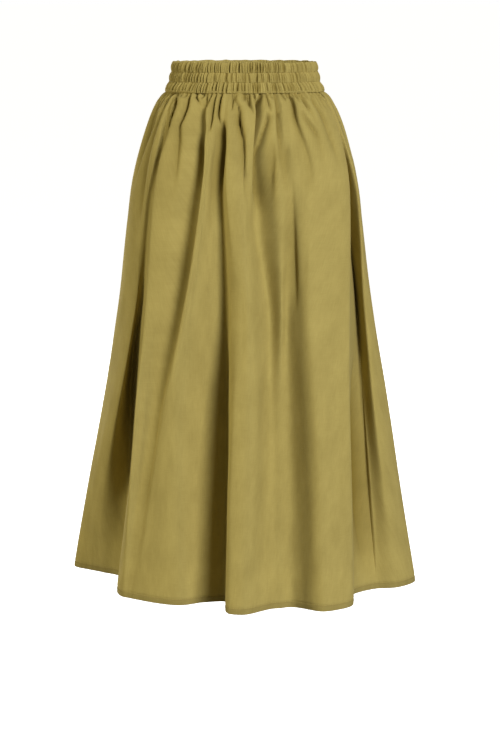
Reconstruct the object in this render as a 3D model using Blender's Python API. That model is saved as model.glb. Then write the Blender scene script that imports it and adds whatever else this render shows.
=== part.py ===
"""A gathered a-line skirt of midi length: two flared panels with pockets in the side seams, a
turned-up hem, and a waistband that holds three channels of elastic.

Metres, +Z up. The wearer faces -Y. The origin is the centre of the waist, halfway up the
waistband. A drop is a distance below the origin. An angle runs round the skirt from the centre
back towards the wearer's left side, which is +X. Tables are in millimetres and degrees.
"""
import math
from collections import namedtuple
from functools import lru_cache

import bmesh
import bpy
from mathutils import Vector

MM = 0.001

# Driving sizes, in millimetres
SEAM_GAP = 0.3
PANEL_WALL = 1.2
BAND_WALL = 3.0
BAND_HEIGHT = 45.0
CHANNEL_BULGE = 2.2
CHANNEL_COUNT = 3
LENGTH_BELOW_WAIST = 800.0
HEM_HEIGHT = 9.0
HEM_WALL = 1.0
HEM_GAP = 0.7
POCKET_MOUTH_TOP = 78.0
POCKET_MOUTH_BOTTOM = 255.0
POCKET_MOUTH_OPENING = 1.2
POCKET_BAG_CENTRE = 190.0
POCKET_BAG_HALF_HEIGHT = 135.0
POCKET_BAG_WALL = 2.0
POCKET_BAG_CLEARANCE = 2.5

# Fineness of the faceted cloth
COLUMNS_PER_FOLD = 2
BAND_COLUMNS = 22
CHANNEL_ROWS = 3
POCKET_ROWS = 7
PANEL_DROPS = (34, 52, 78, 112, 150, 190, 235, 285, 340, 400, 460, 520, 580, 640, 695, 745)

BAND_DROP = BAND_HEIGHT / 2
PANEL_TOP = BAND_DROP + SEAM_GAP

# The plain form without folds: half ellipses, one at the back and one at the front
Section = namedtuple("Section", "drop half_width back_depth front_depth")
SKIRT_SECTIONS = (
    Section(PANEL_TOP, 125, 101, 97),
    Section(32, 133, 107, 102),
    Section(60, 148.5, 119, 112),
    Section(105, 164.5, 134, 122),
    Section(160, 177.5, 150, 133),
    Section(220, 185, 160, 141),
    Section(350, 201, 180, 160),
    Section(500, 225.5, 204, 184),
    Section(650, 250.5, 228, 206),
    Section(LENGTH_BELOW_WAIST, 276, 252, 226),
)
BAND_SECTIONS = (
    Section(-BAND_DROP, 112.5, 92, 88),
    Section(-BAND_DROP / CHANNEL_COUNT, 114.5, 94, 90),
    Section(BAND_DROP / CHANNEL_COUNT, 118, 96.5, 92.5),
    Section(BAND_DROP, 125, 101, 97),
)

# Each fold line, crest or valley, by its angle and by how far it stands out (+) or in (-)
# from the plain form, at six drops
FOLD_DROPS = (PANEL_TOP, 110.0, 200.0, 350.0, 500.0, LENGTH_BELOW_WAIST)
Fold = namedtuple("Fold", "name angle reach")
BACK_FOLDS = (
    Fold("right side seam", (-72, -73.8, -80, -88.6, -76.3, -65), (-1.5, -9, -20, -26, -36, -46)),
    Fold("right pocket shelf", (-71, -72.2, -72.6, -78, -67, -58), (-2, -7, -14.5, -25, -36, -54)),
    Fold("right pocket valley", (-70, -70.8, -67.3, -66, -55.3, -49.4), (-2, -5, -7, -18, -25, -50)),
    Fold("right pocket lip", (-69, -69.4, -64, -54.3, -46.7, -38), (-0.5, -2.2, -0.3, -1, -1, -3)),
    Fold("right pocket crest", (-67.5, -67.6, -61.2, -51.4, -44, -35), (0.5, -1, 2.4, 5, 6.5, 8.5)),
    Fold("right back panel", (-52, -51, -50, -42, -37, -29.5), (0, 1, 2, 3, 6, 19)),
    Fold("right back crest", (-36, -36, -33, -28.5, -28, -23.5), (2, 3, 3, 4, 8, 20)),
    Fold("right back valley", (-25, -24.5, -25, -22.5, -21.5, -16.5), (-2, -3, -8, -26, -36, -22)),
    Fold("centre right crest", (-17, -17, -17.5, -18.5, -17.2, -12.8), (1, 2, -4, -20, -38, -20)),
    Fold("centre right valley", (-10, -7, -6.5, -13.5, -12.5, -9.5), (-3, -9, -25, -37, -40, -17)),
    Fold("centre crest", (-1, -1, 0, -2, -3, 0), (1, 3, 4, 7, 8, 20)),
    Fold("centre fold crest", (8, 9, 7.5, 1.5, 4, 4.7), (1, 2, 3, 4, 6, 15)),
    Fold("centre fold lip", (9.5, 10.4, 9.2, 6.6, 6.2, 6.1), (0, 0, -4, -12, -11, 1)),
    Fold("centre fold valley", (12, 12.4, 12.4, 11.4, 8.9, 8.7), (-2, -5, -15, -38, -62, -70)),
    Fold("centre fold floor", (14.5, 15, 16, 17.2, 17.4, 16.2), (-1, -4, -12, -28, -56, -60)),
    Fold("left back crest", (20, 18, 19.2, 23.5, 27, 24), (1, 3, 3, -1, -8, -25)),
    Fold("long fold crest", (26, 20.8, 21.6, 27, 33.8, 42), (1, 4, 6, 5, -2, -27)),
    Fold("long fold valley", (31, 24, 24.8, 30.4, 37, 46), (-3, -11, -18, -18, -12, -27.3)),
    Fold("left back panel", (42, 37, 38, 40, 43.5, 47.5), (1, 2, 1, -2, -6, -27)),
    Fold("left edge crest", (54, 48.4, 48.4, 46.4, 45.4, 50.2), (1, 4.5, 7, 8, 8, -26)),
    Fold("left edge lip", (55.5, 50.1, 49.6, 47.6, 49.1, 58.3), (0, 2.2, 2.5, -3, -9, -40)),
    Fold("left edge valley", (59, 53.5, 56.3, 64, 84, 86), (-3, -4.5, -8, -21, -44, -88)),
    Fold("left edge ridge", (62, 56.5, 60.3, 63, 72, 102), (0, 0.3, -2, -11, -20, -35.5)),
    Fold("left side crest", (80, 80.6, 84.1, 94.6, 103.4, 111), (1, -0.5, -0.3, 0, 4, 23.4)),
)
FRONT_FOLDS = (
    Fold("left side seam", (104, 105, 106, 110, 114, 122), (-1, -2, -4, -3, -2, 0)),
    Fold("left front valley", (115, 116, 117, 122, 127, 137), (-2, -4, -6, -14, -22, -42)),
    Fold("left front crest", (127, 128, 129, 134, 139, 147), (1, 2, 2, 2, 2, 6)),
    Fold("left front panel", (142, 142.5, 143, 146, 150, 156), (0, 1, 2, 3, 5, 10)),
    Fold("front valley a", (156, 156.5, 157, 159.5, 162, 166), (-2, -3, -5, -11, -18, -34)),
    Fold("front crest a", (168, 168, 168, 170, 172, 175), (1, 2, 3, 3, 2, 4)),
    Fold("centre front panel", (181, 181, 181, 182, 183, 185), (1, 2, 2, 4, 6, 12)),
    Fold("front valley b", (193, 193, 193, 193.5, 194, 195), (-2, -3, -3, -6, -8, -14)),
    Fold("front crest b", (205, 205, 205, 205, 205, 206), (1, 2, 3, 4, 6, 8)),
    Fold("front valley c", (218, 218, 218, 218, 218, 219), (-2, -3, -5, -13, -22, -40)),
    Fold("right front crest", (231, 231, 231, 230.5, 230, 229), (1, 2, 3, 3, 3, 6)),
    Fold("right front panel", (244, 244, 244, 243.5, 243, 242), (0, 1, 1, 2, 4, 8)),
    Fold("right front valley", (258, 258, 258, 258, 258, 258), (-2, -3, -4, -7, -10, -20)),
    Fold("right side crest", (272, 274, 275, 276, 276, 277), (1, 0, 0, 0, 1, -1)),
    Fold("right pocket ridge", (286, 285.5, 286.4, 284, 287, 289.5), (0, -0.7, 3, -7, -6, -19)),
)
FOLDS = BACK_FOLDS + FRONT_FOLDS
RIGHT_SEAM = 0
LEFT_SEAM = len(BACK_FOLDS)
ONCE_ROUND = len(FOLDS)

# A pocket bag reaches a little behind its seam, and forward across as many columns of the panel
COLUMNS_BEHIND_SEAM = 1
COLUMNS_AHEAD_OF_SEAM = 7
Pocket = namedtuple("Pocket", "name seam forward")
POCKETS = (
    Pocket("left_pocket_bag", LEFT_SEAM, 1),
    Pocket("right_pocket_bag", ONCE_ROUND, -1),
)


def smooth(knots, values, x):
    """Read a smooth curve through a table's values at x."""
    last = len(knots) - 1
    x = min(max(x, knots[0]), knots[last])
    i = min(next(k for k in range(last) if x <= knots[k + 1]), last - 1)

    def slope(k):
        low, high = max(k - 1, 0), min(k + 1, last)
        return (values[high] - values[low]) / (knots[high] - knots[low])

    span = knots[i + 1] - knots[i]
    t = (x - knots[i]) / span
    start = values[i] * (2 * t**3 - 3 * t**2 + 1) + slope(i) * span * (t**3 - 2 * t**2 + t)
    end = values[i + 1] * (3 * t**2 - 2 * t**3) + slope(i + 1) * span * (t**3 - t**2)
    return start + end


def ellipse(sections, angle, drop):
    """Give the plan point of the form without folds."""
    knots = [section.drop for section in sections]
    width = smooth(knots, [section.half_width for section in sections], drop)
    ahead = math.cos(math.radians(angle)) < 0
    depths = [section.front_depth if ahead else section.back_depth for section in sections]
    depth = smooth(knots, depths, drop)
    return Vector((width * math.sin(math.radians(angle)), depth * math.cos(math.radians(angle))))


@lru_cache(maxsize=None)
def fold_points(drop):
    """Give the plan point of every fold line at one drop."""
    points = []
    for fold in FOLDS:
        plain = ellipse(SKIRT_SECTIONS, smooth(FOLD_DROPS, fold.angle, drop), drop)
        points.append(plain + plain.normalized() * smooth(FOLD_DROPS, fold.reach, drop))
    return points


def ring_point(place, drop):
    """Read the plan curve through the fold lines; place counts folds from the right side seam."""
    points = fold_points(drop)
    i = math.floor(place)
    a, b, c, d = (points[(i + k) % ONCE_ROUND] for k in (-1, 0, 1, 2))
    before, here, after = ((q - p).length ** 0.5 for p, q in ((a, b), (b, c), (c, d)))
    t = place - i
    leave = here * ((b - a) / before - (c - a) / (before + here) + (c - b) / here)
    reach = here * ((c - b) / here - (d - b) / (here + after) + (d - c) / after)
    start = b * (2 * t**3 - 3 * t**2 + 1) + leave * (t**3 - 2 * t**2 + t)
    return start + c * (3 * t**2 - 2 * t**3) + reach * (t**3 - t**2)


def ring_direction(place, drop):
    """Give the direction along the cloth, midway between the facets on both sides."""
    facet = 1 / COLUMNS_PER_FOLD
    here = ring_point(place, drop)
    before = (here - ring_point(place - facet, drop)).normalized()
    after = (ring_point(place + facet, drop) - here).normalized()
    return (before + after).normalized()


def cloth_point(place, drop, inset, along=0.0):
    """Give a point of the cloth, moved in from its outer face and along the ring."""
    direction = ring_direction(place, drop)
    outward = Vector((-direction.y, direction.x))
    plan = ring_point(place, drop) - outward * inset + direction * along
    return Vector((plan.x, plan.y, -drop)) * MM


def half_seam(drop):
    """Give half the gap between two panels: a thread's width, and open at the pocket's mouth."""
    t = (drop - POCKET_MOUTH_TOP) / (POCKET_MOUTH_BOTTOM - POCKET_MOUTH_TOP)
    opening = POCKET_MOUTH_OPENING * math.sin(math.pi * t) ** 2 if 0 < t < 1 else 0.0
    return SEAM_GAP / 2 + opening


def cloth_material(name, colour, roughness):
    """Make a plain woven cloth."""
    material = bpy.data.materials.new(name)
    material.use_nodes = True
    shader = material.node_tree.nodes["Principled BSDF"]
    shader.inputs["Base Color"].default_value = (*colour, 1.0)
    shader.inputs["Roughness"].default_value = roughness
    shader.inputs["Metallic"].default_value = 0.0
    return material


def cloth_solid(name, columns, material):
    """Close a wall of cloth. A column is a list of (outer, inner) points from top to bottom."""
    mesh = bmesh.new()
    grid = [[[mesh.verts.new(point) for point in pair] for pair in column] for column in columns]
    last_column, last_row = len(columns) - 1, len(columns[0]) - 1
    for i in range(last_column):
        for j in range(last_row):
            corners = [grid[i][j], grid[i + 1][j], grid[i + 1][j + 1], grid[i][j + 1]]
            # both faces of the wall are split along the same, shorter diagonal
            a, b, c, d = (pair[0].co for pair in corners)
            if (a - c).length > (b - d).length:
                corners = corners[1:] + corners[:1]
            for half in ((0, 1, 2), (0, 2, 3)):
                mesh.faces.new([corners[k][0] for k in half])
                mesh.faces.new([corners[k][1] for k in reversed(half)])
        for j in (0, last_row):
            rim = [grid[i][j][0], grid[i][j][1], grid[i + 1][j][1], grid[i + 1][j][0]]
            mesh.faces.new(rim if j == 0 else rim[::-1])
    for j in range(last_row):
        for i in (0, last_column):
            edge = [grid[i][j][0], grid[i][j + 1][0], grid[i][j + 1][1], grid[i][j][1]]
            mesh.faces.new(edge if i == 0 else edge[::-1])
    data = bpy.data.meshes.new(name)
    mesh.to_mesh(data)
    mesh.free()
    data.shade_smooth()
    data.set_sharp_from_angle(angle=math.radians(40))
    data.materials.append(material)
    piece = bpy.data.objects.new(name, data)
    bpy.context.scene.collection.objects.link(piece)
    return piece


def spread(start, end, count):
    """Give count + 1 evenly spaced values."""
    return [start + (end - start) * k / count for k in range(count + 1)]


def panel_columns(first, last, drops, outer_inset, wall):
    """Lay out a panel, or a strip that lies inside it, between two side seams."""
    places = spread(first, last, (last - first) * COLUMNS_PER_FOLD)
    columns = []
    for place in places:
        side = (place == first) - (place == last)
        columns.append([
            [cloth_point(place, drop, inset, side * half_seam(drop))
             for inset in (outer_inset, outer_inset + wall)]
            for drop in drops
        ])
    return columns


def pocket_columns(pocket):
    """Lay out a pocket bag: a D-shaped leaf behind the seam, reaching towards the front."""
    inset = PANEL_WALL + POCKET_BAG_CLEARANCE
    columns = []
    for step in range(-COLUMNS_BEHIND_SEAM, COLUMNS_AHEAD_OF_SEAM + 1):
        round_edge = math.sqrt(1 - (max(step, 0) / (COLUMNS_AHEAD_OF_SEAM + 1)) ** 2)
        drops = spread(
            POCKET_BAG_CENTRE - POCKET_BAG_HALF_HEIGHT * round_edge,
            POCKET_BAG_CENTRE + POCKET_BAG_HALF_HEIGHT * round_edge,
            POCKET_ROWS,
        )
        place = pocket.seam + pocket.forward * step / COLUMNS_PER_FOLD
        columns.append([
            [cloth_point(place, drop, depth) for depth in (inset, inset + POCKET_BAG_WALL)]
            for drop in drops
        ])
    return columns[::pocket.forward]


def band_columns(first, last):
    """Lay out half of the waistband: a casing that bulges over each channel of elastic."""
    drops = spread(-BAND_DROP, BAND_DROP, CHANNEL_COUNT * CHANNEL_ROWS)
    columns = []
    for angle in spread(first, last, BAND_COLUMNS):
        column = []
        for row, drop in enumerate(drops):
            plain = ellipse(BAND_SECTIONS, angle, drop)
            outward = plain.normalized()
            along = Vector((outward.y, -outward.x)) * ((angle == first) - (angle == last))
            middle = plain + along * SEAM_GAP / 2
            bulge = CHANNEL_BULGE * abs(math.sin(math.pi * row / CHANNEL_ROWS))
            pair = (middle + outward * bulge, middle - outward * BAND_WALL)
            column.append([Vector((p.x, p.y, -drop)) * MM for p in pair])
        columns.append(column)
    return columns


def build():
    """Make every piece that is cut and sewn."""
    for leftover in list(bpy.data.objects):
        bpy.data.objects.remove(leftover)
    fabric = cloth_material("skirt cloth", (0.37, 0.29, 0.09), 0.85)
    casing = cloth_material("waistband cloth", (0.33, 0.26, 0.08), 0.85)
    lining = cloth_material("pocket cloth", (0.34, 0.27, 0.09), 0.88)

    drops = [PANEL_TOP, *PANEL_DROPS, LENGTH_BELOW_WAIST - HEM_HEIGHT, LENGTH_BELOW_WAIST]
    hem_inset = PANEL_WALL + HEM_GAP
    left_angle, right_angle = FRONT_FOLDS[0].angle[0], BACK_FOLDS[0].angle[0]
    halves = (
        ("back", RIGHT_SEAM, LEFT_SEAM, right_angle, left_angle),
        ("front", LEFT_SEAM, ONCE_ROUND, left_angle, right_angle + 360),
    )
    for half, first, last, band_start, band_end in halves:
        cloth_solid(half + "_panel", panel_columns(first, last, drops, 0.0, PANEL_WALL), fabric)
        hem = panel_columns(first, last, drops[-2:], hem_inset, HEM_WALL)
        cloth_solid(half + "_hem", hem, fabric)
        cloth_solid(half + "_waistband", band_columns(band_start, band_end), casing)
    for pocket in POCKETS:
        cloth_solid(pocket.name, pocket_columns(pocket), lining)


build()
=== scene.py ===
import math
from collections import namedtuple

import bpy
import numpy as np
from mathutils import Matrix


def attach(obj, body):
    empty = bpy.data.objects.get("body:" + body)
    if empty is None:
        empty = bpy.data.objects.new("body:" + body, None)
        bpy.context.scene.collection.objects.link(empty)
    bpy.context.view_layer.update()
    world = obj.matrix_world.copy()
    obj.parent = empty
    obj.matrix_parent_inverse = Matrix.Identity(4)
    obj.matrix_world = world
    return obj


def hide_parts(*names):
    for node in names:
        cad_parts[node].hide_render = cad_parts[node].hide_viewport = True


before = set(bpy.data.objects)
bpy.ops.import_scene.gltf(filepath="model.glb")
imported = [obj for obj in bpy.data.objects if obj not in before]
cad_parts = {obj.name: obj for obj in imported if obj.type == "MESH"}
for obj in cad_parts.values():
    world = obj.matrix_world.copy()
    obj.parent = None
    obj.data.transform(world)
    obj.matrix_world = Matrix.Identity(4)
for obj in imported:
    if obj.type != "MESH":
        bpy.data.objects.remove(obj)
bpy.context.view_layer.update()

# ---------------------------------------------------------------------------------------------
# Camera: at hip height behind the wearer, a little above the waist and tilted down, so the
# waistband is seen level and the hem from above. The wearer faces -Y.
# ---------------------------------------------------------------------------------------------
CAMERA_PLACE = (-0.0085, 4.3, 0.124)
CAMERA_TILT = 7.9
FOCAL_PIXELS = 2730
FRAME_HEIGHT = 750


def add_object(name, data):
    """A new object in the scene."""
    made = bpy.data.objects.new(name, data)
    bpy.context.scene.collection.objects.link(made)
    return made


camera_data = bpy.data.cameras.new("camera")
camera_data.sensor_width = 36
camera_data.lens = FOCAL_PIXELS / FRAME_HEIGHT * camera_data.sensor_width
camera = add_object("camera", camera_data)
camera.location = CAMERA_PLACE
camera.rotation_euler = (math.radians(90 - CAMERA_TILT), 0, math.radians(180))
bpy.context.scene.camera = camera
bpy.context.scene.view_settings.view_transform = "Standard"

# ---------------------------------------------------------------------------------------------
# Studio: a pale floor where the wearer would stand, a white room, and soft boxes. The key light
# stands a little to the right of the camera and the front box lights the far side of the skirt.
# The room's own light is dim and warm, and the floor throws no light up at the cloth.
# ---------------------------------------------------------------------------------------------
FLOOR_HEIGHT = -1.05
FLOOR_RADIUS = 400
FLOOR_CORNERS = 64
FLOOR_GREY = 0.72
FLOOR_GLOW = 0.95
WHITE = (1, 1, 1, 1)
ROOM_LIGHT = 0.115
ROOM_COLOUR = (1, 0.88, 0.42, 1)
SKIRT_MIDDLE = (0, 0, -0.42)
SoftBox = namedtuple("SoftBox", "name place size power colour")
SOFT_BOXES = (
    SoftBox("key", (-2.5, 4.2, 1.75), 2.1, 287, (1, 1, 1)),
    SoftBox("left side", (3.7, 1.0, 0.0), 1.4, 82, (1, 0.94, 0.72)),
    SoftBox("right side", (-3.8, 0.9, 0.5), 1.4, 5, (1, 1, 1)),
    SoftBox("front", (1.2, -4.3, 1.3), 2.4, 190, (1, 1, 1)),
)


def new_material(name):
    """A new material and its shader."""
    material = bpy.data.materials.new(name)
    material.use_nodes = True
    return material, material.node_tree.nodes["Principled BSDF"]


floor_material, floor_shader = new_material("pale floor")
floor_shader.inputs["Base Color"].default_value = (FLOOR_GREY, FLOOR_GREY, FLOOR_GREY, 1)
floor_shader.inputs["Roughness"].default_value = 0.9
floor_shader.inputs["Specular IOR Level"].default_value = 0
floor_shader.inputs["Emission Color"].default_value = WHITE
floor_shader.inputs["Emission Strength"].default_value = FLOOR_GLOW
floor_data = bpy.data.meshes.new("floor")
rim = [math.tau * k / FLOOR_CORNERS for k in range(FLOOR_CORNERS)]
floor_data.from_pydata(
    [(FLOOR_RADIUS * math.cos(a), FLOOR_RADIUS * math.sin(a), FLOOR_HEIGHT) for a in rim],
    [], [range(FLOOR_CORNERS)])
floor_data.materials.append(floor_material)
floor = add_object("floor", floor_data)
floor.visible_diffuse = False

for box in SOFT_BOXES:
    light = bpy.data.lights.new(box.name, "AREA")
    light.shape = "DISK"
    light.size = box.size
    light.energy = box.power
    light.color = box.colour
    lamp = add_object(box.name, light)
    lamp.location = box.place
    aim = np.array(SKIRT_MIDDLE) - np.array(box.place)
    lamp.rotation_euler = (math.pi / 2 + math.atan2(aim[2], math.hypot(aim[0], aim[1])), 0,
                           math.atan2(aim[1], aim[0]) - math.pi / 2)


def mix_colours(tree, factor, first, second, blend="MIX"):
    """Mix two colours. Each of the three inputs is a value or another node's output."""
    mix = tree.nodes.new("ShaderNodeMix")
    mix.data_type = "RGBA"
    mix.blend_type = blend
    for name, given in (("Factor", factor), ("A", first), ("B", second)):
        if isinstance(given, bpy.types.NodeSocket):
            tree.links.new(given, mix.inputs[name])
        else:
            mix.inputs[name].default_value = given
    return mix.outputs["Result"]


world = bpy.data.worlds.new("white room")
world.use_nodes = True
room_tree = world.node_tree
room = room_tree.nodes["Background"]
seen = room_tree.nodes.new("ShaderNodeLightPath").outputs["Is Camera Ray"]
strength = room_tree.nodes.new("ShaderNodeMapRange")
strength.inputs["To Min"].default_value = ROOM_LIGHT
strength.inputs["To Max"].default_value = 1.0
room_tree.links.new(seen, strength.inputs["Value"])
room_tree.links.new(strength.outputs["Result"], room.inputs["Strength"])
room_tree.links.new(mix_colours(room_tree, seen, ROOM_COLOUR, WHITE), room.inputs["Color"])
bpy.context.scene.world = world

# ---------------------------------------------------------------------------------------------
# Panels: the back and the front are flared pieces of one olive linen and cotton cloth, gathered
# at the top into the waistband and sewn together at the sides. The cloth hangs in the folds
# below: a crest or valley by its angle round the body and how far it stands out from the plain
# form. Sizes are in millimetres and degrees, and a drop is a distance below the waist's centre.
# ---------------------------------------------------------------------------------------------
MM = 0.001
CLOTH_THICKNESS = 0.8
SKIRT_DROP = 800.0
PANEL_TOP = 22.8
TUCKED_ROWS = (20.6, 21.8)
HIP_DROP = 150.0
ROWS_ABOVE_HIP = 52
ROW_CROWDING = 1.3
ROWS_BELOW_HIP = 50
HEM_HEIGHT = 9
HEM_ROWS = (787, 789, 790.2, 791, 791.8, 793, 795, 797.5, 799.2, SKIRT_DROP)
COLUMN_WIDTH = 1.9
FEWEST_COLUMNS = 6
KNEE_DROP = 400.0
TRACK_STEPS = 20

Section = namedtuple("Section", "drop half_width back_depth front_depth")
SECTIONS = (
    Section(PANEL_TOP, 125, 101, 97),
    Section(32, 133, 107, 102),
    Section(60, 148.5, 119, 112),
    Section(105, 164.5, 134, 122),
    Section(160, 177.5, 150, 133),
    Section(220, 185, 160, 141),
    Section(350, 201, 180, 160),
    Section(500, 225.5, 204, 184),
    Section(650, 250.5, 228, 206),
    Section(SKIRT_DROP, 276, 252, 226),
)
FOLD_DROPS = (PANEL_TOP, 110.0, 200.0, 350.0, 500.0, SKIRT_DROP)
Fold = namedtuple("Fold", "name angle reach")
BACK_FOLDS = (
    Fold("right side seam", (-72, -73.8, -80, -88.6, -77, -65), (-1.5, -9, -20, -26, -34, -46)),
    Fold("right pocket shelf", (-71, -72.2, -72.6, -78, -67, -58), (-2, -7, -14.5, -25, -36, -54)),
    Fold("right pocket valley", (-70, -70.8, -67.3, -66, -55.3, -49.4),
         (-2, -5, -7, -18, -25, -50)),
    Fold("right pocket lip", (-69, -69.4, -64, -54.3, -46.7, -38), (-0.5, -2.2, -0.3, -1, -1, -3)),
    Fold("right pocket crest", (-67.5, -67.6, -61.2, -51.4, -44, -35),
         (0.5, -1, 2.4, 5, 6.5, 8.5)),
    Fold("right back panel", (-52, -51, -50, -42, -37, -29.5), (0, 1, 2, 3, 6, 19)),
    Fold("right back crest", (-36, -36, -33, -28.5, -28, -23.5), (2, 3, 3, 4, 8, 20)),
    Fold("right back valley", (-25, -24.5, -25, -22.5, -21.5, -16.5), (-2, -3, -8, -26, -36, -22)),
    Fold("centre right crest", (-17, -17, -17.5, -18.5, -17.2, -12.8), (1, 2, -4, -20, -38, -20)),
    Fold("centre right valley", (-10, -7, -6.5, -13.5, -12.5, -9.5), (-3, -9, -25, -37, -40, -17)),
    Fold("centre crest", (-1, -1, 0, -2, -3, 0), (1, 3, 4, 7, 8, 20)),
    Fold("centre fold crest", (8, 9, 7.5, 1.5, 4, 4.7), (1, 2, 3, 4, 6, 15)),
    Fold("centre fold lip", (9.5, 10.4, 9.2, 6.6, 6.2, 6.1), (0, 0, -4, -12, -11, 1)),
    Fold("centre fold valley", (12, 12.4, 12.4, 11.4, 8.9, 8.7), (-2, -5, -15, -38, -62, -70)),
    Fold("centre fold floor", (14.5, 15, 16, 17.2, 17.4, 16.2), (-1, -4, -12, -28, -56, -60)),
    Fold("left back crest", (20, 18, 19.2, 23.5, 27, 24), (1, 3, 3, -1, -8, -25)),
    Fold("long fold crest", (26, 20.8, 21.6, 27, 33.8, 42), (1, 4, 6, 5, -2, -27)),
    Fold("long fold valley", (31, 24, 24.8, 30.4, 37, 46), (-3, -11, -18, -18, -12, -27.3)),
    Fold("left back panel", (42, 37, 38, 40, 43.5, 47.5), (1, 2, 1, -2, -6, -27)),
    Fold("left edge crest", (54, 48.4, 48.4, 46.4, 45.4, 50.2), (1, 4.5, 7, 8, 8, -26)),
    Fold("left edge lip", (55.5, 50.1, 49.6, 47.6, 49.1, 58.3), (0, 2.2, 2.5, -3, -9, -40)),
    Fold("left edge valley", (59, 53.5, 56.3, 64, 84, 86), (-3, -4.5, -8, -21, -44, -88)),
    Fold("left edge ridge", (62, 56.5, 60.3, 63, 72, 102), (0, 0.3, -2, -11, -20, -35.5)),
    Fold("left side crest", (80, 80.6, 84.1, 94.6, 103.4, 111), (1, -0.5, -0.3, 0, 4, 23.4)),
)
FRONT_FOLDS = (
    Fold("left side seam", (104, 105, 106, 110, 114, 122), (-1, -2, -4, -3, -2, 0)),
    Fold("left front valley", (115, 116, 117, 122, 127, 137), (-2, -4, -6, -14, -22, -42)),
    Fold("left front crest", (127, 128, 129, 134, 139, 147), (1, 2, 2, 2, 2, 6)),
    Fold("left front panel", (142, 142.5, 143, 146, 150, 156), (0, 1, 2, 3, 5, 10)),
    Fold("front valley a", (156, 156.5, 157, 159.5, 162, 166), (-2, -3, -5, -11, -18, -34)),
    Fold("front crest a", (168, 168, 168, 170, 172, 175), (1, 2, 3, 3, 2, 4)),
    Fold("centre front panel", (181, 181, 181, 182, 183, 185), (1, 2, 2, 4, 6, 12)),
    Fold("front valley b", (193, 193, 193, 193.5, 194, 195), (-2, -3, -3, -6, -8, -14)),
    Fold("front crest b", (205, 205, 205, 205, 205, 206), (1, 2, 3, 4, 6, 8)),
    Fold("front valley c", (218, 218, 218, 218, 218, 219), (-2, -3, -5, -13, -22, -40)),
    Fold("right front crest", (231, 231, 231, 230.5, 230, 229), (1, 2, 3, 3, 3, 6)),
    Fold("right front panel", (244, 244, 244, 243.5, 243, 242), (0, 1, 1, 2, 4, 8)),
    Fold("right front valley", (258, 258, 258, 258, 258, 258), (-2, -3, -4, -7, -10, -20)),
    Fold("right side crest", (272, 274, 275, 276, 276, 277), (1, 0, 0, 0, 1, -1)),
    Fold("right pocket ridge", (286, 285.5, 286.4, 284, 289, 290), (0, -0.7, 3, -7, -12, -20)),
)
FOLDS = BACK_FOLDS + FRONT_FOLDS


def cubic(t, start, leave, end, arrive):
    """A smooth curve from start to end, at t from 0 to 1; leave and arrive are its slopes."""
    first = start * (2 * t**3 - 3 * t**2 + 1) + leave * (t**3 - 2 * t**2 + t)
    return first + end * (3 * t**2 - 2 * t**3) + arrive * (t**3 - t**2)


def read_smooth(knots, values, x):
    """Read smooth curves through a table's rows at every x."""
    knots, values, x = np.asarray(knots, float), np.asarray(values, float), np.asarray(x, float)
    last = len(knots) - 1
    low, high = np.maximum(np.arange(last + 1) - 1, 0), np.minimum(np.arange(last + 1) + 1, last)
    wide = (slice(None),) + (None,) * (values.ndim - 1)
    slopes = (values[high] - values[low]) / (knots[high] - knots[low])[wide]
    x = np.clip(x, knots[0], knots[last])
    i = np.clip(np.searchsorted(knots, x, side="right") - 1, 0, last - 1)
    span = (knots[i + 1] - knots[i])[wide]
    t = (x - knots[i])[wide] / span
    return cubic(t, values[i], slopes[i] * span, values[i + 1], slopes[i + 1] * span)


def plain_points(sections, drops, angle):
    """Plan points of the form without folds: half an ellipse at the back, half at the front."""
    table = np.array(sections, float)
    width, back, front = read_smooth(table[:, 0], table[:, 1:], drops).T[..., None]
    depth = np.where(np.cos(angle) < 0, front, back)
    return np.stack([width * np.sin(angle), depth * np.cos(angle)], axis=-1)


def ring_points(drops, places):
    """Plan points of the cloth, row by row; a place counts folds from the right side seam."""
    angle = np.radians(read_smooth(FOLD_DROPS, np.array([f.angle for f in FOLDS]).T, drops))
    reach = read_smooth(FOLD_DROPS, np.array([f.reach for f in FOLDS]).T, drops)
    plain = plain_points(SECTIONS, drops, angle)
    length = np.linalg.norm(plain, axis=-1)
    points = plain * (1 + reach / length)[..., None]
    i = np.floor(places).astype(int)
    t = (places - i)[None, :, None]
    a, b, c, d = (points[:, (i + k) % len(FOLDS)] for k in (-1, 0, 1, 2))
    before, here, after = (np.linalg.norm(q - p, axis=-1)[..., None] ** 0.5
                           for p, q in ((a, b), (b, c), (c, d)))
    leave = here * ((b - a) / before - (c - a) / (before + here) + (c - b) / here)
    arrive = here * ((c - b) / here - (d - b) / (here + after) + (d - c) / after)
    return cubic(t, b, leave, c, arrive)


def spread_columns():
    """Places of the mesh's columns, about evenly spaced round the knees, denser in tight folds."""
    corners = np.arange(len(FOLDS) + 1)
    fine = np.linspace(0, len(FOLDS), len(FOLDS) * TRACK_STEPS + 1)
    track = ring_points(np.array([KNEE_DROP]), fine)[0]
    length = np.concatenate([[0], np.cumsum(np.linalg.norm(np.diff(track, axis=0), axis=1))])
    gaps = np.diff(np.interp(corners, fine, length))
    counts = np.maximum(FEWEST_COLUMNS, np.round(gaps / COLUMN_WIDTH)).astype(int)
    return np.concatenate([k + np.arange(n) / n for k, n in enumerate(counts)]), counts


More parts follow.
